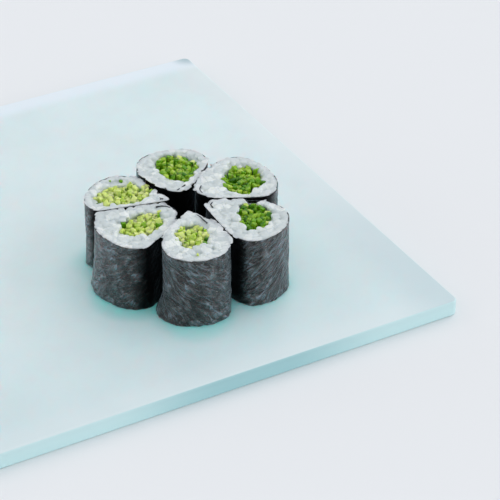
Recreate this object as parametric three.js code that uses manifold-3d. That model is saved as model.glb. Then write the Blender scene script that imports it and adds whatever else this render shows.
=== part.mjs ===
// Six cucumber maki rolls standing in a ring on a square board of frosted glass.
// Millimetres, +Z up. The origin is the middle of the board's underside, and +Y is its far side.
// Each roll is three solids that run its whole height: a wound nori sheet, the rice, and the cucumber.
import * as THREE from 'three';
import { mergeVertices } from 'three/addons/utils/BufferGeometryUtils.js';
import Module from 'manifold-3d';

const wasm = await Module();
wasm.setup();

// ---------- Driving dimensions ----------

const BOARD = { side: 200, thickness: 6, cornerRadius: 2.4, arris: 0.8 };

// A half sheet of nori, 105 mm long in the direction of rolling, laps over its own start.
const NORI = { length: 105, thickness: 0.35, layerGap: 0.15, tailSteps: 3, tailDepth: 1.3, easeSteps: 2 };

// Short grain rice, boiled. The core stops below the cut and the grains rise out of it.
const GRAIN = { length: 5.4, width: 2.6, height: 2.2, spacing: 3.7, coreBelowRim: 0.9, scatter: 0.3 };

// Cucumber cut into strips as long as the roll is tall.
const STRIP = { width: 2.8, breadth: 2.3, spacing: 2.6, scatter: 0.35, above: 0.5, below: 0.9, coreBelowRim: 1.6 };

const FIT_GAP = 0.35; // clearance between the nori, the rice and the cucumber
const FUSE_DEPTH = 1; // how far a fused strip reaches into its core
const FOOT = { focus: 3, fade: 1.5 }; // how narrow the flare of a foot is, and how fast it fades upwards
const OUTLINE_STEPS = 30; // straight stretches in one turn of a roll's outline

// x, y: middle of the roll. halfLength, halfWidth, egg, point, bow: the outline's shape, see eggPoint.
// turn: heading of the narrow end, which looks to the middle of the ring. start: where the sheet begins,
// in degrees from the narrow end. wrap: 1 winds anticlockwise from above, -1 clockwise.
// flare: how far the foot of the nori spreads, at a heading from the narrow end, over a share of the height.
// core: middle, half axes and heading of the bundle of cucumber.
const ROLLS = [
  {
    name: 'front', x: 21.4, y: -56.7, height: 26.2,
    halfLength: 15.3, halfWidth: 10.8, egg: 0.42, point: 1.1, bow: 0.2, turn: 68,
    start: -56, wrap: 1, flare: { size: 2.6, heading: 107, share: 0.3 },
    core: { x: 20.8, y: -55.8, long: 7.5, wide: 5.6, turn: 64 },
  },
  {
    name: 'front_right', x: 41.9, y: -54.0, height: 26.0,
    halfLength: 15.3, halfWidth: 11.7, egg: 0.34, point: 0.9, bow: 1.0, turn: 111,
    start: 32, wrap: -1, flare: { size: 0.4, heading: 180, share: 0.3 },
    core: { x: 45.0, y: -53.8, long: 8.7, wide: 6.6, turn: 56 },
  },
  {
    name: 'back_right', x: 49.6, y: -31.8, height: 26.3,
    halfLength: 14.7, halfWidth: 13.8, egg: 0.31, point: 1.04, bow: -1.6, turn: -167,
    start: -34, wrap: 1, flare: { size: 0.4, heading: 170, share: 0.3 },
    core: { x: 53.2, y: -32.0, long: 9.0, wide: 7.2, turn: 63 },
  },
  {
    name: 'back', x: 35.4, y: -15.6, height: 26.0,
    halfLength: 14.8, halfWidth: 12.3, egg: 0.31, point: 1.2, bow: 1.4, turn: -120,
    start: 40, wrap: -1, flare: { size: 0.3, heading: 200, share: 0.3 },
    core: { x: 37.6, y: -13.1, long: 9.3, wide: 7.4, turn: 94 },
  },
  {
    name: 'back_left', x: 13.5, y: -21.0, height: 25.0,
    halfLength: 14.5, halfWidth: 11.2, egg: 0.33, point: 1.1, bow: -1.7, turn: -30,
    start: 20, wrap: -1, flare: { size: 0.3, heading: 190, share: 0.3 },
    core: { x: 13.2, y: -19.2, long: 9.4, wide: 7.2, turn: -12 },
  },
  {
    name: 'front_left', x: 9.7, y: -38.7, height: 24.8,
    halfLength: 14.9, halfWidth: 13.3, egg: 0.22, point: 1.0, bow: -1.8, turn: 25,
    start: 28, wrap: -1, flare: { size: 1.9, heading: 134, share: 0.9 },
    core: { x: 10.6, y: -38.9, long: 8.0, wide: 6.2, turn: 24 },
  },
];

// Where two neighbours press each other flat: a point of the flat, and the heading from the first
// roll to the second.
const CONTACTS = [
  { between: ['front', 'front_right'], x: 32.0, y: -58.5, heading: -3 },
  { between: ['front_right', 'back_right'], x: 45.0, y: -43.0, heading: 64 },
  { between: ['back_right', 'back'], x: 42.0, y: -22.6, heading: 133 },
  { between: ['back', 'back_left'], x: 23.5, y: -19.0, heading: 190 },
  { between: ['back_left', 'front_left'], x: 11.0, y: -28.2, heading: -103 },
  { between: ['front_left', 'front'], x: 15.0, y: -48.6, heading: -60 },
];
const PRESS = { clearance: 0.2, softness: 0.35 };

const COLOURS = { glass: 0xb9dcdc, nori: 0x23282a, rice: 0xf1f2ec, cucumber: 0x8fb43c };

// ---------- Small helpers ----------

const radians = THREE.MathUtils.degToRad;

// Random numbers from 0 to 1 that are the same on every run.
function seeded(seed) {
  let state = seed;
  return () => {
    state = (state * 1664525 + 1013904223) % 4294967296;
    return state / 4294967296;
  };
}

function solidFrom(geometry) {
  const bare = geometry.clone();
  bare.deleteAttribute('normal');
  bare.deleteAttribute('uv');
  const merged = mergeVertices(bare, 1e-4);
  return new wasm.Manifold(new wasm.Mesh({
    numProp: 3,
    vertProperties: merged.attributes.position.array,
    triVerts: new Uint32Array(merged.index.array),
  }));
}

function geometryFrom(solid) {
  const { vertProperties, triVerts } = solid.getMesh();
  const geometry = new THREE.BufferGeometry();
  geometry.setAttribute('position', new THREE.BufferAttribute(vertProperties, 3));
  geometry.setIndex(new THREE.BufferAttribute(triVerts, 1));
  return geometry;
}

// The largest piece of a solid, without the loose scraps that a cut leaves.
function largestPiece(solid) {
  return solid.decompose().reduce((best, piece) => (piece.volume() > best.volume() ? piece : best));
}

function prism(points, bottom, top) {
  const options = { depth: top - bottom, bevelEnabled: false };
  return new THREE.ExtrudeGeometry(new THREE.Shape(points), options).translate(0, 0, bottom);
}

function mesh(name, geometry, colour, finish) {
  geometry.computeVertexNormals();
  const made = new THREE.Mesh(geometry, new THREE.MeshStandardMaterial({ color: colour, metalness: 0, ...finish }));
  made.name = name;
  return made;
}

function isInside(polygon, point) {
  return polygon.reduce((inside, a, i) => {
    const b = polygon[(i + 1) % polygon.length];
    const crosses = (a.y > point.y) !== (b.y > point.y)
      && point.x < a.x + ((point.y - a.y) / (b.y - a.y)) * (b.x - a.x);
    return crosses ? !inside : inside;
  }, false);
}

function isInCore(core, point, grow) {
  const d = point.clone().sub(new THREE.Vector2(core.x, core.y)).rotateAround(new THREE.Vector2(), -radians(core.turn));
  return Math.hypot(d.x / (core.long + grow), d.y / (core.wide + grow)) < 1;
}

// Points of a jittered triangular grid that cover the roll and pass the test.
function scattered(roll, spacing, jitter, random, test) {
  const rows = Math.ceil(roll.halfLength / spacing) + 2;
  const found = [];
  for (let row = -rows; row <= rows; row += 1) {
    for (let column = -rows; column <= rows; column += 1) {
      const x = roll.x + (column + (row % 2 ? 0.5 : 0)) * spacing + (random() - 0.5) * 2 * jitter;
      const y = roll.y + row * spacing * Math.sin(Math.PI / 3) + (random() - 0.5) * 2 * jitter;
      const point = new THREE.Vector2(x, y);
      if (test(point)) found.push(point);
    }
  }
  return found;
}

// ---------- The outline of a roll ----------

// An ellipse that is narrower at angle 0 by the share egg. point over 1 sharpens both ends, and under 1
// makes them blunt. bow bends it to one side.
function eggPoint(roll, angle) {
  const c = Math.cos(angle);
  const s = Math.sin(angle);
  const side = Math.sign(s) * Math.abs(s) ** roll.point;
  const y = roll.halfWidth * side * (1 - roll.egg * c) + roll.bow * Math.cos(2 * angle);
  const turned = new THREE.Vector2(roll.halfLength * c, y).rotateAround(new THREE.Vector2(), radians(roll.turn));
  return turned.add(new THREE.Vector2(roll.x, roll.y));
}

// For each neighbour that a roll leans on: the heading to it, and how far a point is past the contact.
function contactsAt(roll, point) {
  return CONTACTS.filter(({ between }) => between.includes(roll.name)).map((contact) => {
    const heading = radians(contact.heading) + (contact.between[0] === roll.name ? 0 : Math.PI);
    const out = new THREE.Vector2(Math.cos(heading), Math.sin(heading));
    return { out, past: point.clone().sub(new THREE.Vector2(contact.x, contact.y)).dot(out) };
  });
}

// Moves a point that lies near or beyond a contact back to just short of it.
function pressed(roll, point) {
  contactsAt(roll, point).forEach(({ out }, i) => {
    const beyond = contactsAt(roll, point)[i].past + PRESS.clearance;
    const short = PRESS.softness * Math.log1p(Math.exp(-beyond / PRESS.softness));
    point.addScaledVector(out, -short - beyond);
  });
  return point;
}

// The closed outline as a curve that starts where the sheet starts and runs the way it is wound.
function outlineOf(roll) {
  const count = 72;
  const points = Array.from({ length: count }, (_, i) => {
    const angle = radians(roll.start) + (roll.wrap * i * 2 * Math.PI) / count;
    const { x, y } = pressed(roll, eggPoint(roll, angle));
    return new THREE.Vector3(x, y, 0);
  });
  return new THREE.CatmullRomCurve3(points, true, 'centripetal');
}

// The point a number of steps along the sheet, moved into the roll by inset.
function wallPoint(roll, outline, step, inset) {
  const share = THREE.MathUtils.euclideanModulo(step / OUTLINE_STEPS, 1);
  const at = outline.getPointAt(share);
  const along = outline.getTangentAt(share);
  return new THREE.Vector2(at.x - along.y * inset * roll.wrap, at.y + along.x * inset * roll.wrap);
}

// Steps of the sheet that lie under or over another layer.
function lapSteps(outline) {
  const turn = outline.getLength();
  return Math.round(((NORI.length - turn) / turn) * OUTLINE_STEPS);
}

// Depth of the middle of the sheet below the outline. The start dips into the rice as a tail, then
// runs under the lap, and comes out to the outline.
function sheetDepth(step, lap) {
  const under = 1 - THREE.MathUtils.smoothstep(step, lap, lap + NORI.easeSteps);
  const tail = 1 - THREE.MathUtils.smoothstep(step, 0, NORI.tailSteps);
  return NORI.thickness / 2 + (NORI.thickness + NORI.layerGap) * under + NORI.tailDepth * tail;
}

// A band as thick as the sheet, plus grow on each face, from one step to another.
function sheetBand(roll, outline, from, to, grow) {
  const lap = lapSteps(outline);
  const half = NORI.thickness / 2 + grow;
  const faces = [[], []];
  for (let step = from; step <= to; step += 1) {
    const depth = sheetDepth(step, lap);
    faces[0].push(wallPoint(roll, outline, step, depth - half));
    faces[1].push(wallPoint(roll, outline, step, depth + half));
  }
  return [...faces[0], ...faces[1].reverse()];
}

// The outline at a depth, as a closed polygon.
function insetPolygon(roll, outline, depthAt) {
  return Array.from({ length: OUTLINE_STEPS }, (_, step) => wallPoint(roll, outline, step, depthAt(step)));
}

// ---------- The board ----------

function boardGeometry() {
  const { side, thickness, cornerRadius, arris } = BOARD;
  const half = side / 2 - arris;
  const radius = cornerRadius - arris;
  const shape = new THREE.Shape();
  const corners = [[1, -1, -90], [1, 1, 0], [-1, 1, 90], [-1, -1, 180]];
  corners.forEach(([x, y, from]) => {
    shape.absarc(x * (half - radius), y * (half - radius), radius, radians(from), radians(from + 90), false);
  });
  return new THREE.ExtrudeGeometry(shape, {
    depth: thickness - 2 * arris, curveSegments: 6,
    bevelEnabled: true, bevelThickness: arris, bevelSize: arris, bevelSegments: 1,
  }).translate(0, 0, arris);
}

// ---------- The nori ----------

// Levels of the sheet's rings, as shares of its height: close together where the foot spreads.
const NORI_LEVELS = [0, 0.1, 0.3, 1];

// How far the sheet stands out from the upright at a level, towards a heading.
function spreadAt(roll, heading, level) {
  const { size, share } = roll.flare;
  const facing = Math.max(0, Math.cos(heading - radians(roll.turn + roll.flare.heading)));
  return size * facing ** FOOT.focus * Math.max(0, 1 - level / share) ** FOOT.fade;
}

function noriGeometry(roll, outline) {
  const steps = NORI_LEVELS.length - 1;
  const shape = new THREE.Shape(sheetBand(roll, outline, 0, OUTLINE_STEPS + lapSteps(outline), 0));
  const geometry = new THREE.ExtrudeGeometry(shape, { depth: roll.height, steps, bevelEnabled: false });
  const position = geometry.attributes.position;
  for (let i = 0; i < position.count; i += 1) {
    const level = NORI_LEVELS[Math.round((position.getZ(i) / roll.height) * steps)];
    const point = new THREE.Vector2(position.getX(i), position.getY(i));
    const room = -Math.max(...contactsAt(roll, point).map(({ past }) => past)) - PRESS.clearance;
    const out = point.clone().sub(new THREE.Vector2(roll.x, roll.y));
    out.setLength(out.length() + Math.min(spreadAt(roll, out.angle(), level), Math.max(0, room)));
    position.setXYZ(i, roll.x + out.x, roll.y + out.y, BOARD.thickness + level * roll.height);
  }
  return geometry;
}

// ---------- The cucumber ----------

// The outline of the bundle, moved out by grow.
function bundleOutline({ core }, grow) {
  return new THREE.Shape().absellipse(
    core.x, core.y, core.long + grow, core.wide + grow, 0, 2 * Math.PI, false, radians(core.turn),
  ).getPoints(6);
}

// A solid core as wide as the bundle, and the ends of the strips that rise out of it.
function cucumberSolid(roll, seed) {
  const random = seeded(seed);
  const rim = BOARD.thickness + roll.height;
  const coreTop = rim - STRIP.coreBelowRim;
  const bundle = bundleOutline(roll, 0);
  const core = solidFrom(prism(bundle, BOARD.thickness, coreTop));
  const clip = solidFrom(prism(bundle, BOARD.thickness, rim + STRIP.above + FUSE_DEPTH));
  const places = scattered(roll, STRIP.spacing, STRIP.scatter, random, (point) => (
    isInCore(roll.core, point, -STRIP.breadth / 3)
  ));
  const strips = places.map((at) => {
    const high = STRIP.coreBelowRim + FUSE_DEPTH + STRIP.above - random() * (STRIP.above + STRIP.below);
    return solidFrom(
      new THREE.BoxGeometry(STRIP.width, STRIP.breadth, high)
        .rotateZ(radians(roll.core.turn) + (random() - 0.5) * Math.PI)
        .translate(at.x, at.y, coreTop - FUSE_DEPTH + high / 2),
    );
  });
  return strips.reduce((sum, strip) => sum.add(strip.intersect(clip)), core);
}

// ---------- The rice ----------

function grainSolid(at, turn, lift, z) {
  const grain = new THREE.SphereGeometry(0.5, 5, 4).rotateX(Math.PI / 2)
    .scale(GRAIN.length, GRAIN.width, GRAIN.height);
  return solidFrom(grain.rotateY(lift).rotateZ(turn).translate(at.x, at.y, z));
}

// A core that stops below the cut, with grains rising out of it between the nori and the cucumber.
function riceSolid(roll, outline, seed) {
  const random = seeded(seed);
  const lap = lapSteps(outline);
  const rim = BOARD.thickness + roll.height;
  const coreTop = rim - GRAIN.coreBelowRim;
  const innerFace = (step) => (
    step < NORI.tailSteps ? NORI.thickness : sheetDepth(step, lap) + NORI.thickness / 2
  );
  const edge = insetPolygon(roll, outline, (step) => innerFace(step) + FIT_GAP);
  const grainLimit = insetPolygon(roll, outline, (step) => innerFace(step) + FIT_GAP + GRAIN.width / 3);
  const places = scattered(roll, GRAIN.spacing, GRAIN.scatter, random, (point) => (
    isInside(grainLimit, point) && !isInCore(roll.core, point, GRAIN.width / 4)
  ));
  const core = solidFrom(prism(edge, BOARD.thickness, coreTop));
  const grains = places.map((at) => (
    grainSolid(at, random() * Math.PI, (random() - 0.5) * 0.4, coreTop + (random() - 0.5) * 0.5)
  ));
  const tail = sheetBand(roll, outline, -1, NORI.tailSteps + 1, FIT_GAP);
  const heap = grains.reduce((sum, grain) => sum.add(grain), core)
    .intersect(solidFrom(prism(edge, BOARD.thickness, rim + GRAIN.height)))
    .subtract(solidFrom(prism(tail, 0, rim + GRAIN.height)))
    .subtract(solidFrom(prism(bundleOutline(roll, FIT_GAP), 0, rim + GRAIN.height)));
  return largestPiece(heap);
}

// ---------- Put together ----------

const maki = new THREE.Group();
maki.add(mesh('board', boardGeometry(), COLOURS.glass, { roughness: 0.5 }));
ROLLS.forEach((roll, i) => {
  const outline = outlineOf(roll);
  const cucumber = geometryFrom(cucumberSolid(roll, 11 + i));
  const rice = geometryFrom(riceSolid(roll, outline, 31 + i));
  const one = new THREE.Group();
  one.add(mesh(`nori_${roll.name}`, noriGeometry(roll, outline), COLOURS.nori, { roughness: 0.55 }));
  one.add(mesh(`rice_${roll.name}`, rice, COLOURS.rice, { roughness: 0.5 }));
  one.add(mesh(`cucumber_${roll.name}`, cucumber, COLOURS.cucumber, { roughness: 0.4 }));
  maki.add(one);
});

export default maki;
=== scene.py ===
# %% [markdown]
# # Six cucumber maki rolls on a frosted glass board
# Thin maki are rolled as one long bar and cut across, so every piece shows the same three things at its
# cut: a wound sheet of nori, a ring of sticky rice, and a bundle of cucumber cut into fine strips.
# Here six of them stand cut side up in a ring on a square board of glass.
# The solids that come with the frame give the sizes and places. Each step below swaps one of them for a
# finer piece that keeps its form.

# %% Start
from bisect import bisect_right
from math import atan2, cos, exp, log1p, pi, radians, sin
from random import Random

import bmesh
import bpy
from mathutils import Euler, Matrix, Vector, kdtree, noise


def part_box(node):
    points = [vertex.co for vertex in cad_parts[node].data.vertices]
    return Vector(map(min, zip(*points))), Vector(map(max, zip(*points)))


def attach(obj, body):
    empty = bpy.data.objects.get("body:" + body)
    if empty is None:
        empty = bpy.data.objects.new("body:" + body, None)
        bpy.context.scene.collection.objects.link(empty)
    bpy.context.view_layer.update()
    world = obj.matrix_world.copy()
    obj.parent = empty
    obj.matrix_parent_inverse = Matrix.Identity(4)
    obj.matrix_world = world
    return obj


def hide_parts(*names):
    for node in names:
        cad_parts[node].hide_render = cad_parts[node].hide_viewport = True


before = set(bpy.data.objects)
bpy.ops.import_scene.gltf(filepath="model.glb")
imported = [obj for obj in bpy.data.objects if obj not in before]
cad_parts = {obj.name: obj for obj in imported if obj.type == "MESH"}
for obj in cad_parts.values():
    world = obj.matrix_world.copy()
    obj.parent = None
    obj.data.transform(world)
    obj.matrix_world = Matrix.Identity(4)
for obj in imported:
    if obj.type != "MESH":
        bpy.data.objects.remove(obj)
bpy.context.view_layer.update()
MM = 0.001

# %% [markdown]
# ## Camera and light
# The rolls are looked down on from the front left with a long lens, which keeps them nearly free of
# perspective. The room is bright, with light from all round and a broad window behind on the right.
# A world colour gives the light from all round. The window is a sun whose disc is made very wide, so
# that its shadows are soft.

# %% Camera
scene = bpy.context.scene
scene.view_settings.view_transform = "Standard"


def linear(colour, alpha=1.0):
    """Turns an sRGB hex value into the linear colour that shaders work in."""
    channels = [int(colour[i:i + 2], 16) / 255 for i in (0, 2, 4)]
    return [c / 12.92 if c <= 0.04045 else ((c + 0.055) / 1.055) ** 2.4 for c in channels] + [alpha]


lens = bpy.data.cameras.new("camera")
lens.lens = 144
lens.sensor_width = 36
camera = bpy.data.objects.new("camera", lens)
camera.location = Vector((-233.8, -552.8, 398.0)) * MM
camera.rotation_euler = (radians(56.34), 0, radians(-29.12))
scene.collection.objects.link(camera)
scene.camera = camera
print("camera height in mm:", round(camera.location.z / MM))

# %% Light
world = bpy.data.worlds.new("bright_room")
world.use_nodes = True
world.node_tree.nodes["Background"].inputs["Color"].default_value = linear("F1F4F9")
scene.world = world

lamp = bpy.data.lights.new("window", "SUN")
lamp.angle = radians(50)
lamp.energy = 0.475
lamp.color = linear("FFFDF8")[:3]
window = bpy.data.objects.new("window", lamp)
window.location = Vector((0.65, 0.5, 1.0))
window.rotation_euler = (-window.location).to_track_quat("-Z", "Y").to_euler()
scene.collection.objects.link(window)
print("window light", lamp.energy, "W per square metre")

# %% [markdown]
# ## Helpers
# A finished piece is always handed over in the same way: its bmesh becomes a mesh at the origin, it gets
# its material and smooth shading, and the solid of the frame that it stands for is hidden. One more
# helper adds a shader node with its settings and links, so that each material reads as a list of its
# layers.

# %% Handing over a piece


def new_object(name, bm):
    mesh = bpy.data.meshes.new(name)
    bm.to_mesh(mesh)
    bm.free()
    made = bpy.data.objects.new(name, mesh)
    scene.collection.objects.link(made)
    return made


def hand_over(piece, material, node):
    """Gives a piece its material, and hides the solid of the frame that it stands for."""
    piece.data.materials.clear()
    piece.data.materials.append(material)
    piece.data.shade_smooth()
    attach(piece, "root")
    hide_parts(node)
    print(piece.name, len(piece.data.polygons), "faces")


# %% Adding a shader node


def add(tree, kind, settings=None, **links):
    """Adds a node. Settings go to its properties or, failing that, to its inputs, and links to inputs."""
    node = tree.nodes.new("ShaderNode" + kind)
    for name, value in (settings or {}).items():
        if hasattr(node, name):
            setattr(node, name, value)
        else:
            node.inputs[name].default_value = value
    for name, source in links.items():
        slot = int(name[1:]) if name[0] == "i" and name[1:].isdigit() else name.replace("_", " ")
        tree.links.new(source, node.inputs[slot])
    return node


def new_material(name):
    """A material with an empty Principled shader, its tree, and its Object coordinates."""
    material = bpy.data.materials.new(name)
    material.use_nodes = True
    tree = material.node_tree
    shader = tree.nodes["Principled BSDF"]
    place = tree.nodes.new("ShaderNodeTexCoord").outputs["Object"]
    return material, tree, shader, place


def set_inputs(shader, values):
    for name, value in values.items():
        shader.inputs[name].default_value = value


def ramp(tree, factor, *stops):
    """A colour ramp from (position, hex) pairs."""
    made = add(tree, "ValToRGB", Fac=factor)
    bands = made.color_ramp
    while len(bands.elements) < len(stops):
        bands.elements.new(1.0)
    for element, (position, colour) in zip(bands.elements, stops):
        element.position = position
        element.color = linear(colour)
    return made.outputs["Color"]


def blend(tree, factor, first, second):
    """Mixes two colours, each a hex value or the output of a node."""
    node = add(tree, "Mix", {"data_type": "RGBA"})
    tree.links.new(factor, node.inputs[0])
    for socket, colour in ((node.inputs[6], first), (node.inputs[7], second)):
        if isinstance(colour, str):
            socket.default_value = linear(colour)
        else:
            tree.links.new(colour, socket)
    return node.outputs[2]


# %% [markdown]
# ## The room
# The room is brighter on two opposite sides, most on the one that faces the right end of the board.
# That puts a shine on the flanks of the rolls and leaves their fronts and the gaps between them dark.
# A world's Generated coordinates are the directions of its light, so a dot product tells them apart.

# %% Room light
SIDEWAYS = Vector((0.874, -0.487, 0))
DIM, LEFT_GLOW, RIGHT_GLOW = 0.69, 1.45, 1.85
tree = world.node_tree
seen = tree.nodes.new("ShaderNodeTexCoord").outputs["Generated"]
facing = add(tree, "VectorMath", {"operation": "DOT_PRODUCT"}, i0=seen)
facing.inputs[1].default_value = SIDEWAYS
right = add(tree, "MapRange", {"interpolation_type": "SMOOTHSTEP", "From Min": 0.2, "From Max": 0.95,
                               "To Min": DIM, "To Max": RIGHT_GLOW}, Value=facing.outputs["Value"])
left = add(tree, "MapRange", {"interpolation_type": "SMOOTHSTEP", "From Min": -0.3, "From Max": -0.95,
                              "To Min": DIM, "To Max": LEFT_GLOW}, Value=facing.outputs["Value"])
brightness = add(tree, "Math", {"operation": "MAXIMUM"},
                 i0=right.outputs["Result"], i1=left.outputs["Result"])
tree.links.new(brightness.outputs[0], tree.nodes["Background"].inputs["Strength"])
print("the room is", round(RIGHT_GLOW / DIM, 1), "times as bright on the right as in front")

# %% [markdown]
# ## The table
# A plain pale floor, which isn't part of the object. It takes the soft shadow of the board.

# %% Table
TABLE_REACH = 4.0
TABLE_DROP = 0.05 * MM

bm = bmesh.new()
bmesh.ops.create_grid(bm, x_segments=1, y_segments=1, size=TABLE_REACH)
bmesh.ops.translate(bm, verts=bm.verts, vec=(0, 0, -TABLE_DROP))
table = new_object("table", bm)
table_paint, tree, shader, place = new_material("matt_white_paint")
set_inputs(shader, {"Base Color": linear("E9EAEB"), "Roughness": 0.7, "Specular IOR Level": 0.2})
table.data.materials.append(table_paint)

# %% [markdown]
# ## The glass board
# Float glass, 6 mm thick, with etched faces and a ground edge. A block is scaled to the frame's box, its
# upright corners are rounded with a bevel, and a second, small bevel grinds off the sharp rims.

# %% Board shape
low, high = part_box("board")
BOARD_TOP = high.z
CORNER = 2.4 * MM
ARRIS = 0.8 * MM

bm = bmesh.new()
bmesh.ops.create_cube(bm, size=1.0)
bmesh.ops.scale(bm, verts=bm.verts, vec=high - low)
bmesh.ops.translate(bm, verts=bm.verts, vec=(low + high) / 2)
corners = [e for e in bm.edges if abs(e.verts[0].co.z - e.verts[1].co.z) > ARRIS]
bmesh.ops.bevel(bm, geom=corners, offset=CORNER, affect="EDGES", segments=10, profile=0.5, material=-1)
rims = [e for e in bm.edges if e.is_manifold and e.calc_face_angle() > radians(60)]
bmesh.ops.bevel(bm, geom=rims, offset=ARRIS, affect="EDGES", segments=3, profile=0.5, material=-1)
board = new_object("etched_board", bm)
print("the board is", round((high.z - low.z) / MM, 1), "mm thick")

# %% [markdown]
# ## The shape of a roll
# A soft roll that is cut and stood in a ring is pressed into a drop, narrow towards the middle, and flat
# where it leans on its neighbours. Its outline is an ellipse with three changes: egg makes one end
# narrower, point sharpens or blunts the ends, and bow bends it to one side. A contact then stops every
# point that would pass it. The values are in millimetres and degrees, the same as the frame's.
# The nori, the rice and the cucumber are all placed with this outline, so that they fit each other.

# %% Rolls
ROLLS = [
    dict(name="front", x=21.4, y=-56.7, height=26.2, length=15.3, width=10.8, egg=0.42, point=1.1,
         bow=0.2, turn=68, start=-56, wrap=1, flare=(2.6, 107, 0.3), core=(21.3, -55.0, 7.3, 5.4, 64)),
    dict(name="front_right", x=41.9, y=-54.0, height=26.0, length=15.3, width=11.7, egg=0.34, point=0.9,
         bow=1.0, turn=111, start=32, wrap=-1, flare=(0.4, 180, 0.3), core=(45.0, -53.8, 8.7, 6.6, 56)),
    dict(name="back_right", x=49.6, y=-31.8, height=26.3, length=14.7, width=13.8, egg=0.31, point=1.04,
         bow=-1.6, turn=-167, start=-34, wrap=1, flare=(0.4, 170, 0.3), core=(53.2, -32.0, 9.0, 7.2, 63)),
    dict(name="back", x=35.4, y=-15.6, height=26.0, length=14.8, width=12.3, egg=0.31, point=1.2,
         bow=1.4, turn=-120, start=40, wrap=-1, flare=(0.3, 200, 0.3), core=(37.6, -13.1, 9.3, 7.4, 94)),
    dict(name="back_left", x=13.5, y=-21.0, height=25.0, length=14.5, width=11.2, egg=0.33, point=1.1,
         bow=-1.7, turn=-30, start=20, wrap=-1, flare=(0.3, 190, 0.3), core=(13.2, -19.2, 9.4, 7.2, -12)),
    dict(name="front_left", x=9.7, y=-38.7, height=24.8, length=14.9, width=13.3, egg=0.22, point=1.0,
         bow=-1.8, turn=25, start=28, wrap=-1, flare=(1.9, 134, 0.9), core=(10.6, -38.9, 8.0, 6.2, 24)),
]
# Where neighbours lean on each other: both names, a point, and the heading from the first to the second.
CONTACTS = [
    ("front", "front_right", 32.0, -58.5, -3), ("front_right", "back_right", 45.0, -43.0, 64),
    ("back_right", "back", 42.0, -22.6, 133), ("back", "back_left", 23.5, -19.0, 190),
    ("back_left", "front_left", 11.0, -28.2, -103), ("front_left", "front", 15.0, -48.6, -60),
]
CLEARANCE, SOFTNESS = 0.2, 0.35


def direction(degrees):
    return Vector((cos(radians(degrees)), sin(radians(degrees))))


def outline_point(roll, angle):
    c, s = cos(angle), sin(angle)
    side = (1 if s > 0 else -1) * abs(s) ** roll["point"]
    y = roll["width"] * side * (1 - roll["egg"] * c) + roll["bow"] * cos(2 * angle)
    flat = Vector((roll["length"] * c, y))
    flat.rotate(Matrix.Rotation(radians(roll["turn"]), 2))
    flat += Vector((roll["x"], roll["y"]))
    for first, second, x, y, heading in CONTACTS:
        if roll["name"] in (first, second):
            out = direction(heading) * (1 if roll["name"] == first else -1)
            beyond = (flat - Vector((x, y))).dot(out) + CLEARANCE
            flat -= out * (beyond + SOFTNESS * log1p(exp(-beyond / SOFTNESS)))
    return flat


def room(roll, flat):
    """How far a point of a roll is from its nearest neighbour's half, in millimetres."""
    nearest = 99.0
    for first, second, x, y, heading in CONTACTS:
        if roll["name"] in (first, second):
            out = direction(heading) * (1 if roll["name"] == first else -1)
            nearest = min(nearest, (Vector((x, y)) - flat).dot(out))
    return nearest


# %% Walking along the outline


def lay_track(roll):
    """Keeps the outline as points and how far along each one is, in the order that the sheet is wound."""
    start, steps = radians(roll["start"]), 360
    points = [outline_point(roll, start + roll["wrap"] * 2 * pi * i / steps) for i in range(steps + 1)]
    marks = [0.0]
    for a, b in zip(points, points[1:]):
        marks.append(marks[-1] + (b - a).length)
    roll["points"], roll["marks"], roll["round"] = points, marks, marks[-1]


def wall_point(roll, along, inset):
    """The point that lies along the outline by one distance and inside it by another."""
    points, marks = roll["points"], roll["marks"]
    along %= roll["round"]
    i = min(bisect_right(marks, along), len(points) - 1)
    a, b = points[i - 1], points[i]
    heading = (b - a).normalized()
    inward = Vector((-heading.y, heading.x)) * roll["wrap"]
    return a.lerp(b, (along - marks[i - 1]) / (marks[i] - marks[i - 1])) + inward * inset


def raised(flat, z):
    """Turns a point and its height above the board, in millimetres, to a place in metres."""
    return Vector((flat.x * MM, flat.y * MM, BOARD_TOP + z * MM))


for roll in ROLLS:
    lay_track(roll)
    print(roll["name"], "is", round(roll["round"], 1), "mm round")

# %% [markdown]
# ## Etched glass
# Float glass is faintly green, and acid etching turns its faces milky. Light runs sideways through it for
# a centimetre or more, red the furthest. A painted highlight lies as a bright band along the far side,
# and painted shade as darker bands along the right side and the near side. Round each roll the etching is
# painted clearer and greener, a painted shade at the rolls' feet. Real refraction would make such a sheet
# far too dark, so the milky faces scatter light under the skin instead. The scattering fades out towards
# the ground edges, which get their own colour.

# %% Milky faces
# Painted light and shade bands along the sides: from where to where in millimetres, counted from the
# middle, and how strong.
FAR_HIGHLIGHT_BAND = (88, 95, 0.8)
RIGHT_SHADE_BAND = (74, 99, 1.0)
RIGHT_SHADE_ALONG = (40, -80, 0.5)
NEAR_SHADE_BAND = (-20, -90, 0.4)
GROUND_FADE = (98, 86)
# The etching is a little uneven, in patches of this size.
PATCH = 35.7 * MM

glass, tree, shader, place = new_material("etched_float_glass")
set_inputs(shader, {
    "Roughness": 0.42, "IOR": 1.52, "Subsurface Scale": 12 * MM,
    "Subsurface Radius": (1.2, 0.25, 0.28),
})
patches = add(tree, "TexNoise", {"Scale": 1 / PATCH, "Detail": 3.0, "Roughness": 0.6},
              Vector=place).outputs["Fac"]
milky = ramp(tree, patches, (0.3, "DAE4E5"), (0.5, "DEE8E9"), (0.7, "E1EAEB"))
across = add(tree, "SeparateXYZ", Vector=place)


def fade(value, start, end, strength=1.0):
    """Rises softly from nothing at the start to a strength at the end."""
    return add(tree, "MapRange", {"interpolation_type": "SMOOTHSTEP", "From Min": start, "From Max": end,
                                  "To Max": strength}, Value=value).outputs["Result"]


def band(axis, start, end, strength=1.0):
    """A fade along one axis of the board, between two places in millimetres."""
    return fade(across.outputs[axis], start * MM, end * MM, strength)


# Painted shade darkens the right side and the near side, and a painted highlight lightens the far side.
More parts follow.
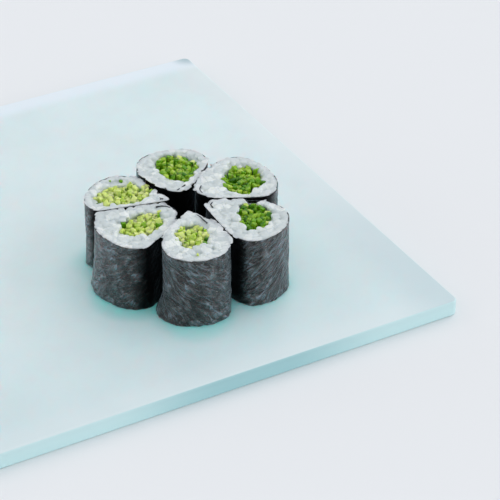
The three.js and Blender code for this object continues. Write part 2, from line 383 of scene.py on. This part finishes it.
right_shade = add(tree, "Math", {"operation": "MULTIPLY"},
                 i0=band("X", *RIGHT_SHADE_BAND), i1=band("Y", *RIGHT_SHADE_ALONG)).outputs[0]
shaded = blend(tree, right_shade, blend(tree, band("Y", *NEAR_SHADE_BAND), milky, "C4D8DB"), "AFC6CC")
lit = blend(tree, band("Y", *FAR_HIGHLIGHT_BAND), shaded, "E6EFF6")
# Painted shade: the far right corner is darkened, as if the dark of its own round edge showed through.
far_corner = add(tree, "VectorMath", {"operation": "DISTANCE"}, i0=place)
far_corner.inputs[1].default_value = high
painted_bands_and_corner = blend(tree, fade(far_corner.outputs["Value"], 9 * MM, 2 * MM, 0.8), lit, "9DB8BE")

# %% Painted shade halos
# How far a painted shade halo reaches from its roll, and how far it is shifted to the near side, in
# millimetres.
HALO = 5.6
HALO_SHIFT = Vector((-2.4, -3.1))
# How strong the painted shade is round each roll.
HALO_SHADE = dict(front=0.7, front_right=0.2, back_right=0.1, back=0.2, back_left=0.5, front_left=0.8)

painted_shade = None
for roll in ROLLS:
    middle = (Vector((roll["x"], roll["y"])) + HALO_SHIFT) * MM
    around = add(tree, "Mapping", {
        "vector_type": "TEXTURE", "Location": (middle.x, middle.y, 0),
        "Rotation": (0, 0, radians(roll["turn"])),
        "Scale": (roll["length"] * MM, roll["width"] * MM, 1.0),
    }, Vector=place)
    flat = add(tree, "VectorMath", {"operation": "MULTIPLY"}, i0=around.outputs["Vector"])
    flat.inputs[1].default_value = (1, 1, 0)
    away = add(tree, "VectorMath", {"operation": "LENGTH"}, i0=flat.outputs["Vector"]).outputs["Value"]
    one = fade(away, 1.0 + HALO / roll["width"], 0.95, HALO_SHADE[roll["name"]])
    painted_shade = one if painted_shade is None else add(tree, "Math", {"operation": "ADD"}, i0=painted_shade, i1=one).outputs[0]
# Painted shade: inside the halos the glass is tinted clearer and greener.
halo_shaded = blend(tree, painted_shade, painted_bands_and_corner, "A2DAD7")
print("halos reach", HALO, "mm")

# %% Ground edges
# Painted shade: the ground edge is darkest at one stretch in the middle, standing in for the dark rolls
# seen through the glass.
EDGE_SHADE_MIDDLE = 20 * MM
EDGE_SHADE_REACH = (55 * MM, 10 * MM)

normal = tree.nodes.new("ShaderNodeNewGeometry").outputs["Normal"]
slant = add(tree, "SeparateXYZ", Vector=normal).outputs["Z"]
flatness = add(tree, "Math", {"operation": "ABSOLUTE"}, i0=slant).outputs[0]
edge = fade(flatness, 0.97, 0.7)
offset = add(tree, "Math", {"operation": "SUBTRACT"}, i0=across.outputs["X"])
offset.inputs[1].default_value = EDGE_SHADE_MIDDLE
beside = add(tree, "Math", {"operation": "ABSOLUTE"}, i0=offset.outputs[0]).outputs[0]
edge_colour_and_shade = blend(tree, fade(beside, *EDGE_SHADE_REACH), "C2DDDE", "98C0C4")
tree.links.new(blend(tree, edge, halo_shaded, edge_colour_and_shade), shader.inputs["Base Color"])
from_middle = add(tree, "VectorMath", {"operation": "ABSOLUTE"}, i0=place)
sides = add(tree, "SeparateXYZ", Vector=from_middle.outputs["Vector"])
outermost = add(tree, "Math", {"operation": "MAXIMUM"}, i0=sides.outputs["X"], i1=sides.outputs["Y"])
inland = fade(outermost.outputs[0], *(end * MM for end in GROUND_FADE))
tree.links.new(inland, shader.inputs["Subsurface Weight"])

# %% Painted glow from the glass
# The glass gets a painted glow, as if light that ran along inside it came out at its edge. A little
# painted green glow also fills the shade round the rolls, most inside the painted shade halos.
SHADE_MIDDLE = Vector((28 * MM, -38 * MM, high.z))
SHADE_REACH = (62 * MM, 36 * MM)

shader.inputs["Emission Strength"].default_value = 0.25
from_ring = add(tree, "VectorMath", {"operation": "DISTANCE"}, i0=place)
from_ring.inputs[1].default_value = SHADE_MIDDLE
shade_glow = blend(tree, fade(from_ring.outputs["Value"], *SHADE_REACH), "000000", "1C7678")
painted_glow = blend(tree, fade(painted_shade, 0.3, 1.0), shade_glow, "389490")
edge_glow = blend(tree, fade(slant, 0.3, -0.5), "4A6668", "9CCACD")
tree.links.new(blend(tree, edge, painted_glow, edge_glow), shader.inputs["Emission Color"])
hand_over(board, glass, "board")

# %% [markdown]
# ## Nori
# Nori is seaweed that is chopped, spread thin like paper pulp and dried, so it has fibres that run every
# way, small holes and specks. The damp rice makes it shrink and pucker into fine creases.
# A half sheet is 105 mm long, so it goes once round and laps over its own start. The start turns in and
# ends in the rice as a short tail.
# The sheet starts as one line of edges along that winding, which is extruded upwards row by row, moved
# by noise to pucker it, and then given its thickness. A painted shade is kept on its points: where rolls
# touch, and inside the ring, the sheet is painted nearly black, as shade in the gaps.

# %% How deep the sheet lies
SHEET = 105.0
# The nori of the frame's solids, and the sheet, which is thinner so that it can pucker inside them.
NORI_THICK, SHEET_THICK = 0.35, 0.3
# How much deeper the start of the sheet lies where the lap covers it, and how far the lap's end lifts.
LAYER, LAP_LIFT = 0.5, 0.25
TAIL_LENGTH, TAIL_DEPTH = 9.0, 1.3


def smoothstep(low_end, high_end, value):
    t = min(max((value - low_end) / (high_end - low_end), 0.0), 1.0)
    return t * t * (3 - 2 * t)


def sheet_depth(roll, along):
    """Depth of the middle of the sheet inside the outline, in millimetres."""
    lap = SHEET - roll["round"]
    under = 1 - smoothstep(lap, lap + 6.0, along)
    tail = 1 - smoothstep(0.0, TAIL_LENGTH, along)
    lifted = smoothstep(SHEET - 2.0, SHEET, along)
    return NORI_THICK / 2 + LAYER * under + TAIL_DEPTH * tail - LAP_LIFT * lifted


# %% Winding the sheet
ROW = 0.55
STEP = 0.5


def wound_sheet(roll):
    """The sheet as a thin surface, with how far along the winding each point is kept in a layer."""
    bm = bmesh.new()
    layer = bm.verts.layers.float.new("along")
    line = []
    for i in range(round(SHEET / STEP) + 1):
        vert = bm.verts.new(raised(wall_point(roll, i * STEP, sheet_depth(roll, i * STEP)), 0))
        vert[layer] = i * STEP
        line.append(vert)
    edges = [bm.edges.new(pair) for pair in zip(line, line[1:])]
    rows = round(roll["height"] / ROW)
    for _ in range(rows):
        grown = bmesh.ops.extrude_edge_only(bm, edges=edges)["geom"]
        verts = {g for g in grown if isinstance(g, bmesh.types.BMVert)}
        bmesh.ops.translate(bm, verts=list(verts), vec=(0, 0, roll["height"] * MM / rows))
        edges = [g for g in grown if isinstance(g, bmesh.types.BMEdge) and verts.issuperset(g.verts)]
    return bm, layer


# %% Puckering it
# How far each kind of crease stands out, and how far the foot and the rim wander, in millimetres.
SWELL, CREASE, WRINKLE = 0.3, 0.3, 0.06
FOOT_RUFFLE, FOOT_TEAR, RIM_WAVE, RIM_LOW, TAIL_PROUD = 0.5, 0.5, 0.12, 0.08, 0.5


def puckers(roll, along, z):
    """How far the damp sheet stands out, in millimetres, at a distance along it and a height."""
    spot = Vector((along / 5.5, z / 9.0, roll["x"]))
    swell = SWELL * noise.noise(spot)
    slanted = Vector(((along + 0.8 * z) / 2.6, (z - 0.5 * along) / 5.5, roll["y"]))
    crease = 0.5 - abs(noise.noise(slanted))
    fine = noise.noise(Vector(((along - z) / 1.0, (z + along) / 1.8, roll["x"])))
    return swell + CREASE * crease + WRINKLE * fine


def spread_foot(roll, flat, z):
    """How far the foot of the sheet stands out where it lies against the board, in millimetres."""
    size, heading, share = roll["flare"]
    out = (flat - Vector((roll["x"], roll["y"]))).normalized()
    facing = max(0.0, out.dot(direction(roll["turn"] + heading)))
    ruffle = FOOT_RUFFLE * noise.noise(Vector((flat.x / 4.0, flat.y / 4.0, 0))) * max(0.0, 1 - z / 3.0)
    return size * facing ** 3 * max(0.0, 1 - z / (share * roll["height"])) ** 1.5 + ruffle


def off_level(roll, along, z):
    """How far the torn foot, the wavy rim and the raised tail lie above a straight cut."""
    wave = RIM_WAVE * noise.noise(Vector((along / 3.0, 5.0, roll["x"]))) - RIM_LOW
    tear = FOOT_TEAR * max(0.0, noise.noise(Vector((along / 3.0, 9.0, roll["y"]))))
    tail = TAIL_PROUD * (1 - smoothstep(4.0, TAIL_LENGTH, along))
    rise = wave * smoothstep(18.0, roll["height"], z) + tear * max(0.0, 1 - z / 1.5)
    return rise + tail * smoothstep(22.0, roll["height"], z)


# %% Where the sheet is painted dark
RING_MIDDLE = sum((Vector((roll["x"], roll["y"])) for roll in ROLLS), Vector((0, 0))) / len(ROLLS)
# Painted shade is full up to the first distance in millimetres and gone from the second, from a neighbour
# and the middle.
GAP_SHADE_BESIDE = (1.5, 5.5)
GAP_SHADE_INSIDE = (8.0, 13.0)
# The front roll stands proud of the ring, and its flanks get no painted shade.
UNSHADED_FLANKS = ("front",)


def painted_gap_shade(roll, flat):
    """How much painted shade the sheet gets in the gaps, from 0 to 1."""
    beside = 0 if roll["name"] in UNSHADED_FLANKS else 1 - smoothstep(*GAP_SHADE_BESIDE, room(roll, flat))
    inside = 1 - smoothstep(*GAP_SHADE_INSIDE, (flat - RING_MIDDLE).length)
    return max(beside, inside)


# %% The finished sheet


def nori(roll):
    bm, layer = wound_sheet(roll)
    gap_shade_layer = bm.verts.layers.float.new("painted_gap_shade")
    sheet_map = bm.loops.layers.uv.new("sheet")
    for vert in bm.verts:
        along = vert[layer]
        z = (vert.co.z - BOARD_TOP) / MM
        flat = wall_point(roll, along, sheet_depth(roll, along))
        inner = wall_point(roll, along, sheet_depth(roll, along) + 1.0)
        out = (flat - inner).normalized()
        loose = smoothstep(0.0, TAIL_LENGTH, along)
        swollen = puckers(roll, along, z) + spread_foot(roll, flat, z)
        moved = flat + out * loose * min(swollen, room(roll, flat) - 0.25)
        vert[gap_shade_layer] = painted_gap_shade(roll, flat)
        vert.co = raised(moved, z + off_level(roll, along, z))
    for face in bm.faces:
        for loop in face.loops:
            loop[sheet_map].uv = (loop.vert[layer] * MM, loop.vert.co.z)
    bmesh.ops.recalc_face_normals(bm, faces=bm.faces)
    bmesh.ops.solidify(bm, geom=bm.faces, thickness=SHEET_THICK * MM)
    bmesh.ops.recalc_face_normals(bm, faces=bm.faces)
    return new_object("nori_sheet_" + roll["name"], bm)


# %% Nori finish
# The depths of the relief: broad folds, and the web of fibres between them.
FOLD_DEPTH = 1.2 * MM
FIBRE_DEPTH = 0.4 * MM

seaweed, tree, shader, place = new_material("damp_nori")
set_inputs(shader, {"Roughness": 0.27, "IOR": 1.65, "Sheen Weight": 0.55, "Sheen Roughness": 0.3,
                    "Sheen Tint": linear("C4D8E2")})
sheet_uv = add(tree, "UVMap", {"uv_map": "sheet"}).outputs["UV"]


def fibres(turn, length, width, detail=3.0):
    """Fibres in the sheet: noise stretched to a length and a width in millimetres, and turned."""
    laid = add(tree, "Mapping", {"vector_type": "TEXTURE", "Rotation": (0, 0, radians(turn)),
                                 "Scale": (length * MM, width * MM, 1.0)}, Vector=sheet_uv)
    return add(tree, "TexNoise", {"Scale": 1.0, "Detail": detail, "Roughness": 0.62, "Distortion": 1.5},
               Vector=laid.outputs["Vector"]).outputs["Fac"]


# Thick and thin patches, folds, fibres and grain add up to one light-and-dark pattern.
web = fibres(-44, 4.4, 1.5, 1.5)
grain = fibres(15, 1.0, 0.7, 4.0)
folds = fibres(-32, 8.0, 3.4, 1.0)
patchy = fibres(75, 16.0, 7.0, 1.0)
fine = add(tree, "Math", {"operation": "ADD"}, i0=web, i1=grain).outputs[0]
folded = add(tree, "Math", {"operation": "ADD"}, i0=folds, i1=fine).outputs[0]
total = add(tree, "Math", {"operation": "MULTIPLY_ADD"}, i0=patchy, i2=folded)
total.inputs[1].default_value = 0.8
pattern = total.outputs[0]
mixed = add(tree, "MapRange", {"From Min": 1.55, "From Max": 2.3}, Value=pattern).outputs["Result"]
base = ramp(tree, mixed, (0.2, "010202"), (0.5, "0B0F11"), (0.75, "1F282C"), (1.0, "4C5C64"))

# %% Specks and painted glints in the sheet
# Olive dust gathers in some places and pale flecks lie singly. Painted glints lie as grey-blue streaks
# along the fibres.
dusty = ramp(tree, fibres(20, 4.2, 2.4), (0.51, "101010"), (0.66, "FFFFFF"))
flecks = ramp(tree, fibres(-60, 0.9, 0.5), (0.54, "000000"), (0.66, "FFFFFF"))
dusted = add(tree, "Math", {"operation": "MULTIPLY"}, i0=dusty, i1=flecks).outputs[0]
pale = ramp(tree, fibres(10, 0.75, 0.5), (0.66, "000000"), (0.71, "FFFFFF"))
glint_lines = ramp(tree, web, (0.54, "000000"), (0.72, "FFFFFF"))
glint_patches = ramp(tree, patchy, (0.42, "303030"), (0.6, "FFFFFF"))
painted_glints = add(tree, "Math", {"operation": "MULTIPLY"}, i0=glint_lines, i1=glint_patches).outputs[0]
with_painted_glints = blend(tree, painted_glints, base, "5C7280")
speckled = blend(tree, pale, blend(tree, dusted, with_painted_glints, "555A50"), "A09D88")

# %% Painted shade on the sheet
# Painted shade: in the gaps the sheet is painted black, and made smooth and dull.
painted_shade = add(tree, "Attribute", {"attribute_name": "painted_gap_shade"}).outputs["Fac"]
tree.links.new(blend(tree, painted_shade, speckled, "010101"), shader.inputs["Base Color"])
outside_gap_shade = add(tree, "MapRange", {"To Min": 1.0, "To Max": 0.1}, Value=painted_shade).outputs["Result"]
shine = add(tree, "MapRange", {"From Min": 0.2, "From Max": 0.8, "To Min": 0.3, "To Max": 1.0},
            Value=mixed).outputs["Result"]
gloss = add(tree, "Math", {"operation": "MULTIPLY"}, i0=shine, i1=outside_gap_shade).outputs[0]
tree.links.new(gloss, shader.inputs["Specular IOR Level"])
creased = add(tree, "Bump", {"Distance": FOLD_DEPTH}, Height=folds, Strength=outside_gap_shade)
bump = add(tree, "Bump", {"Distance": FIBRE_DEPTH}, Height=pattern, Strength=outside_gap_shade,
           Normal=creased.outputs["Normal"])
tree.links.new(bump.outputs["Normal"], shader.inputs["Normal"])
print("the sheet's material has", len(tree.nodes), "nodes")

# %% Nori pieces
for roll in ROLLS:
    hand_over(nori(roll), seaweed, "nori_" + roll["name"])

# %% [markdown]
# ## Rice
# Boiled short grain rice is about 5.5 mm long and 2.6 mm wide, soft, and so sticky that neighbours
# flow into one another. At the cut some grains are sliced and some only pushed aside, so the face is
# low and lumpy, a little proud of the nori at its edge.
# A ring fills the roll from the board to just below the cut. Single grains, all at true size and each
# turned its own way, are strewn over it, and a row of them lies along the rim. A voxel remesh then joins
# ring and grains into one skin with soft creases, as glue would, which no boolean does.

# %% The ring under the grains
# In millimetres: the gap to the nori, how much further in the ring keeps, how much wider its hole is than
# the cucumber, how far it ends below the cut, and how far it stays off the board.
CLEAR, RING_IN, HOLE_GROWS, RING_BELOW, FOOT_GAP = 0.08, 0.2, 0.1, 0.9, 0.1


def inner_face(roll, along):
    """Depth of the inside of the nori, leaving the tail out."""
    lap = SHEET - roll["round"]
    under = 1 - smoothstep(lap, lap + 6.0, along)
    return NORI_THICK + LAYER * under


def core_point(roll, angle, grow):
    x, y, long, wide, turn = roll["core"]
    flat = Vector(((long + grow) * cos(angle), (wide + grow) * sin(angle)))
    flat.rotate(Matrix.Rotation(radians(turn), 2))
    return flat + Vector((x, y))


def closed_loop(bm, points, z):
    verts = [bm.verts.new(raised(p, z)) for p in points]
    return [bm.edges.new(pair) for pair in zip(verts, verts[1:] + verts[:1])]


def rice_ring(bm, roll):
    steps = 96
    places = [roll["round"] * i / steps for i in range(steps)]
    outside = [wall_point(roll, along, inner_face(roll, along) + CLEAR + RING_IN) for along in places]
    hole = [core_point(roll, 2 * pi * i / steps, HOLE_GROWS) for i in range(steps)]
    loops = closed_loop(bm, outside, FOOT_GAP) + closed_loop(bm, hole, FOOT_GAP)
    faces = bmesh.ops.bridge_loops(bm, edges=loops)["faces"]
    grown = bmesh.ops.extrude_face_region(bm, geom=faces)["geom"]
    top = [g for g in grown if isinstance(g, bmesh.types.BMVert)]
    bmesh.ops.translate(bm, verts=top, vec=(0, 0, (roll["height"] - RING_BELOW - FOOT_GAP) * MM))
    bmesh.ops.recalc_face_normals(bm, faces=bm.faces)


# %% Places in a roll


def depth_finder(roll):
    """Returns a function that tells how deep inside the outline a point lies, in millimetres."""
    tree = kdtree.KDTree(len(roll["points"]))
    for i, point in enumerate(roll["points"]):
        tree.insert((point.x, point.y, 0), i)
    tree.balance()

    def depth(flat):
        _, i, _ = tree.find((flat.x, flat.y, 0))
        a = roll["points"][i - 1 if i else -2]
        b = roll["points"][(i + 1) % (len(roll["points"]) - 1)]
        heading = (b - a).normalized()
        inward = Vector((-heading.y, heading.x)) * roll["wrap"]
        return (flat - roll["points"][i]).dot(inward), inward

    return depth


def in_core(roll, flat, grow):
    """Whether a point lies in the bundle of cucumber. The bundle's edge is uneven."""
    x, y, long, wide, turn = roll["core"]
    local = flat - Vector((x, y))
    local.rotate(Matrix.Rotation(-radians(turn), 2))
    grow += 0.8 * noise.noise(Vector((flat.x / 2.5, flat.y / 2.5, 7.0)))
    return (local.x / (long + grow)) ** 2 + (local.y / (wide + grow)) ** 2 < 1


def strewn(roll, spacing, jitter, random):
    """Points of a shaken triangular grid that cover the roll."""
    reach = int(roll["length"] / spacing) + 2
    for row in range(-reach, reach + 1):
        for column in range(-reach, reach + 1):
            x = (column + 0.5 * (row % 2)) * spacing + random.uniform(-jitter, jitter)
            y = row * spacing * 0.866 + random.uniform(-jitter, jitter)
            yield Vector((roll["x"] + x, roll["y"] + y))


# %% Strewing the grains
# Length, width and height of a grain, and of one that is pressed along the rim.
GRAIN = (5.0, 2.7, 2.4)
RIM_GRAIN = (4.6, 2.7, 2.4)
RIM_SPACING, RIM_SINK = 2.4, 0.8
# Two layers of grains: their spacing, how far they lie below the cut, and how far from the cucumber.
GRAIN_LAYERS = ((2.2, 0.95, 1.1), (2.6, 1.5, 0.8))
# Lumps that stand out: the roll, x, y, length, width, heading, and how high their middles lie.
LOOSE = [
    ("front_right", 41.3, -48.2, 5.2, 3.2, 40, -0.3), ("front_right", 37.8, -57.6, 6.0, 3.4, -60, -0.4),
    ("back_right", 44.0, -30.0, 8.5, 7.0, 60, -1.1), ("back_left", 18.8, -26.6, 5.2, 2.8, 20, -0.6),
    ("front_right", 39.5, -52.6, 5.4, 3.2, 80, -0.6),
]
# Strips of cucumber that stand by themselves, clear of grains: the roll, x, y, width and tone.
SINGLES = [
    ("front_left", 4.7, -35.0, 1.9, 0.95), ("front_left", 18.6, -37.9, 1.6, 0.9),
    ("front_left", 15.4, -41.7, 1.7, 0.9), ("front", 23.0, -61.6, 1.8, 0.95),
    ("front", 17.8, -66.0, 0.9, 0.3), ("back_left", 3.8, -19.1, 2.2, 1.0),
    ("back_left", 15.7, -11.2, 1.9, 0.9), ("back_left", 12.8, -9.8, 1.8, 0.6),
    ("back_left", 22.5, -21.6, 1.8, 0.7), ("back", 32.9, -6.0, 1.9, 0.9),
]


def add_grain(bm, flat, z, shape, tilt, turn):
    """One grain. Its shape is its length, width and height in millimetres."""
    size = Matrix.Diagonal((*shape, 1000.0)) * MM
    placed = Matrix.Translation(raised(flat, z)) @ Euler((0, tilt, turn), "XYZ").to_matrix().to_4x4()
    bmesh.ops.create_icosphere(bm, subdivisions=3, radius=0.5, matrix=placed @ size)


def add_layers(bm, roll, depth, random):
    """Strews the layers of grains, and returns how many there are."""
    taken = [Vector((x, y)) for name, x, y, *_ in SINGLES if name == roll["name"]]
    count = 0
    for spacing, drop, reach in GRAIN_LAYERS:
        for flat in strewn(roll, spacing, 0.6, random):
            size = random.uniform(0.85, 1.08)
            tilt, turn = random.gauss(0, 0.35), random.uniform(0, 2 * pi)
            z = roll["height"] - drop + random.gauss(0, 0.15)
            if depth(flat)[0] < 0.7 or in_core(roll, flat, reach):
                continue
            if any((flat - other).length < 2.2 for other in taken):
                continue
            add_grain(bm, flat, z, [side * size for side in GRAIN], tilt, turn)
            count += 1
    return count


def add_rim_row(bm, roll, random):
    """Lays a row of grains along the rim, where rice is pressed against the nori."""
    for i in range(round(roll["round"] / RIM_SPACING)):
        along = i * RIM_SPACING + random.uniform(-0.4, 0.4)
        flat = wall_point(roll, along, random.uniform(0.9, 1.5))
        heading = wall_point(roll, along + 1, 1) - wall_point(roll, along - 1, 1)
        turn = atan2(heading.y, heading.x) + random.gauss(0, 0.5)
        if not in_core(roll, flat, -0.3):
            z = roll["height"] - RIM_SINK + random.gauss(0, 0.12)
            add_grain(bm, flat, z, RIM_GRAIN, 0, turn)


def add_lumps(bm, roll):
    for name, x, y, length, width, heading, rise in LOOSE:
        if name == roll["name"]:
            shape = (length, width, GRAIN[2])
            add_grain(bm, Vector((x, y)), roll["height"] + rise, shape, 0, radians(heading))


# %% Joining the heap
VOXEL = 0.25


def join_heap(piece):
    """Makes ring and grains one skin with soft creases."""
    joined = piece.modifiers.new("sticky", "REMESH")
    joined.mode = "VOXEL"
    joined.voxel_size = VOXEL * MM
    soft = piece.modifiers.new("soft", "SMOOTH")
    soft.factor = 0.6
    soft.iterations = 4
    shape = piece.evaluated_get(bpy.context.evaluated_depsgraph_get())
    merged = bpy.data.meshes.new_from_object(shape)
    piece.modifiers.clear()
    piece.data = merged


# %% Trimming the heap
# The heading of the far side, where a line of nori shows. Elsewhere the rice lies over the rim.
AWAY = Vector((0.49, 0.87))
# Where neighbours touch, soft rice is squeezed over the rim, this far at most, and leaves a gap.
SQUEEZE, SQUEEZE_GAP = 0.8, 0.07
# What stands above the knife's level by more than this is pressed down to half.
PROUD = 0.1


def trimmed(roll, depth, flat, over):
    """Moves a point of the skin inside the nori and under the knife. Its height counts from the rim."""
    deep, inward = depth(flat)
    top = smoothstep(-0.1, 0.12, over)
    facing_away = smoothstep(0.0, 0.5, -inward.dot(AWAY))
    bare = 0.3 * facing_away * (1 + noise.noise(Vector((flat.x / 1.5, flat.y / 1.5, 3.0))))
    least = 0.5 + CLEAR - (0.5 + CLEAR - bare) * top
    if deep < least:
        flat += inward * (least - deep)
    squeezed = min(room(roll, flat) - SQUEEZE_GAP, SQUEEZE)
    at_rim = 1 - smoothstep(0.2, 1.6, deep)
    if room(roll, flat) < 2.0:
        flat -= inward * squeezed * top * at_rim
    if over > PROUD:
        over = PROUD + (over - PROUD) * 0.5
    over += 0.3 * top * (1 - smoothstep(0.5, 2.0, room(roll, flat)))
    return flat, over + 0.04 * noise.noise(Vector((flat.x, flat.y, over)) / 0.8)


def trim_heap(roll, depth, skin):
    rim = BOARD_TOP + roll["height"] * MM
    for vert in skin.vertices:
        if vert.co.z < rim - 4 * MM:
            continue
        flat, over = trimmed(roll, depth, Vector((vert.co.x, vert.co.y)) / MM, (vert.co.z - rim) / MM)
        vert.co = (flat.x * MM, flat.y * MM, rim + over * MM)


# %% A whole ring of rice


def rice(roll, seed):
    random = Random(seed)
    depth = depth_finder(roll)
    bm = bmesh.new()
    rice_ring(bm, roll)
    count = add_layers(bm, roll, depth, random)
    add_rim_row(bm, roll, random)
    add_lumps(bm, roll)
    piece = new_object("rice_grains_" + roll["name"], bm)
    join_heap(piece)
    trim_heap(roll, depth, piece.data)
    print(count, "grains")
    return piece


# %% Rice finish
# Wet starch is pale, soft and translucent, so much of its light comes from under the skin.
# Cells a little wider than a grain are pushed out of shape by a noise of its own size. Grit is the
# rough starch on a grain.
CELL = 3.2 * MM
PUSH = 1.6 * MM
PUSH_SIZE = 1.667 * MM
GRIT = 0.625 * MM
GRAIN_RELIEF = 0.08 * MM

boiled_rice, tree, shader, place = new_material("boiled_short_grain_rice")
set_inputs(shader, {
    "Roughness": 0.34, "IOR": 1.4, "Subsurface Weight": 1.0, "Subsurface Scale": 2.2 * MM,
    "Subsurface Radius": (1.0, 0.95, 0.85), "Specular IOR Level": 0.5,
})
# The cells show where one grain ends and the next begins, with painted shade in the creases between them.
warp = add(tree, "TexNoise", {"Scale": 1 / PUSH_SIZE, "Detail": 2.0}, Vector=place).outputs["Color"]
pushed = add(tree, "VectorMath", {"operation": "MULTIPLY_ADD"}, i0=warp, i2=place)
pushed.inputs[1].default_value = (PUSH, PUSH, PUSH)
cells = {"Scale": 1 / CELL}
each = add(tree, "TexVoronoi", cells, Vector=pushed.outputs["Vector"])
own = add(tree, "SeparateColor", Color=each.outputs["Color"]).outputs[0]
starch = ramp(tree, own, (0.0, "C5CDCD"), (0.5, "D0D7D6"), (1.0, "E4E8E5"))
border = add(tree, "TexVoronoi", dict(cells, feature="DISTANCE_TO_EDGE"), Vector=pushed.outputs["Vector"])
crease = ramp(tree, border.outputs["Distance"], (0.0, "FFFFFF"), (0.06, "000000"))
tree.links.new(blend(tree, crease, starch, "C3CCCD"), shader.inputs["Base Color"])
grit = add(tree, "TexNoise", {"Scale": 1 / GRIT, "Detail": 2.0}, Vector=place).outputs["Fac"]
rounding = add(tree, "MapRange", {"From Max": 0.2, "To Max": 1.2},
               Value=border.outputs["Distance"]).outputs["Result"]
height = add(tree, "Math", {"operation": "ADD"}, i0=rounding, i1=grit).outputs[0]
bump = add(tree, "Bump", {"Strength": 0.5, "Distance": GRAIN_RELIEF}, Height=height)
tree.links.new(bump.outputs["Normal"], shader.inputs["Normal"])

# %% Rice pieces
for seed, roll in enumerate(ROLLS):
    hand_over(rice(roll, 100 + seed), boiled_rice, "rice_" + roll["name"])

# %% [markdown]
# ## Cucumber
# The filling is cucumber cut into fine strips and bundled. Most strips are pale flesh, some
# keep a side of dark skin, and the knife leaves their ends at uneven heights.
# Each strip is a cube scaled to a stick as tall as the roll, bevelled so that its corners are soft, with
# its upper end cut at a slope and roughened by noise. Two numbers are kept on its points: tone and shade,
# from pale to green, and skin. The sides of each strip are painted greener and darker than its pale cut
# end, as painted shade down in the bundle.

# %% Strips
STRIP = dict(width=1.75, spacing=1.65, soft=0.34, rough=0.2, grit=0.9)
SKIN_SHARE = 0.08
LOWEST_CUT = -1.6
# How green the filling of each roll is.
GREENS = dict(front=0.42, front_right=1.0, back_right=0.88, back=0.85, back_left=0.33, front_left=0.3)
# The noise that roughens the ends is seeded, so that every run gives the same strips.
noise.seed_set(5)


def add_strip(bm, layers, roll, flat, rise, width, own_tone, random):
    tone_and_shade, skin = layers
    wide, deep = (width * random.uniform(0.8, 1.2) for _ in range(2))
    high = roll["height"] + rise
    made = bmesh.ops.create_cube(bm, size=1.0)["verts"]
    bmesh.ops.scale(bm, verts=made, vec=Vector((wide, deep, high)) * MM)
    edges = list({e for v in made for e in v.link_edges})
    made = bmesh.ops.bevel(bm, geom=edges, offset=STRIP["soft"] * MM, affect="EDGES", segments=2,
                           profile=0.5, material=-1)["verts"]
    has_skin = random.random() < SKIN_SHARE
    slope = random.gauss(0, 0.35), random.gauss(0, 0.35)
    for vert in made:
        at_end = vert.co.z > (high / 2 - STRIP["soft"]) * MM
        # Painted shade: the sides are set greener and darker than the pale cut end.
        vert[tone_and_shade] = own_tone - 0.2 if at_end else own_tone + 0.35
        vert[skin] = 1.0 if has_skin and vert.co.y > 0.3 * deep * MM else 0.0
        if vert.co.z > 0:
            vert.co.z += slope[0] * vert.co.x + slope[1] * vert.co.y
            rough = noise.noise_vector(vert.co / (STRIP["grit"] * MM) + Vector((flat.x, flat.y, 0)))
            vert.co += rough * STRIP["rough"] * MM
    lean = Euler((random.gauss(0, 0.05), random.gauss(0, 0.05), random.uniform(0, pi)), "XYZ")
    placed = Matrix.Translation(raised(flat, high / 2)) @ lean.to_matrix().to_4x4()
    bmesh.ops.transform(bm, matrix=placed, verts=made)


def cucumber(roll, seed):
    random = Random(seed)
    bm = bmesh.new()
    layers = bm.verts.layers.float.new("tone_and_shade"), bm.verts.layers.float.new("skin")
    for flat in strewn(roll, STRIP["spacing"], 0.4, random):
        if in_core(roll, flat, -0.2):
            rise = random.uniform(LOWEST_CUT, 0.0)
            own_tone = random.gauss(GREENS[roll["name"]] - 0.1, 0.2)
            add_strip(bm, layers, roll, flat, rise, STRIP["width"], own_tone, random)
    for name, x, y, width, own_tone in SINGLES:
        if name == roll["name"]:
            add_strip(bm, layers, roll, Vector((x, y)), -0.1, width, own_tone, random)
    lowest = BOARD_TOP + FOOT_GAP * MM
    for vert in bm.verts:
        vert.co.z = max(vert.co.z, lowest)
    return new_object("cucumber_strips_" + roll["name"], bm)


# %% Cucumber finish
# Cut cucumber is wet and translucent. Pale seeds and veins mottle it at this size.
SEED = 1.111 * MM
SEED_RELIEF = 0.12 * MM

flesh, tree, shader, place = new_material("cut_cucumber")
set_inputs(shader, {
    "Roughness": 0.25, "IOR": 1.36, "Subsurface Weight": 0.8, "Subsurface Scale": 1.3 * MM,
    "Subsurface Radius": (0.9, 0.9, 0.4), "Specular IOR Level": 0.5,
})
tone_and_shade = add(tree, "Attribute", {"attribute_name": "tone_and_shade"}).outputs["Fac"]
skin = add(tree, "Attribute", {"attribute_name": "skin"}).outputs["Fac"]
seeds = add(tree, "TexNoise", {"Scale": 1 / SEED, "Detail": 3.0, "Roughness": 0.6},
            Vector=place).outputs["Fac"]
mottled = add(tree, "MapRange", {"To Min": -0.3, "To Max": 0.3}, Value=seeds).outputs["Result"]
shade = add(tree, "Math", {"operation": "ADD"}, i0=tone_and_shade, i1=mottled).outputs[0]
green = ramp(tree, shade, (0.0, "D6E48A"), (0.35, "A1C13B"), (0.7, "629A08"), (1.0, "346803"))
tree.links.new(blend(tree, skin, green, "3A7410"), shader.inputs["Base Color"])
bump = add(tree, "Bump", {"Strength": 0.4, "Distance": SEED_RELIEF}, Height=seeds)
tree.links.new(bump.outputs["Normal"], shader.inputs["Normal"])

# %% Cucumber pieces
for seed, roll in enumerate(ROLLS):
    hand_over(cucumber(roll, 200 + seed), flesh, "cucumber_" + roll["name"])
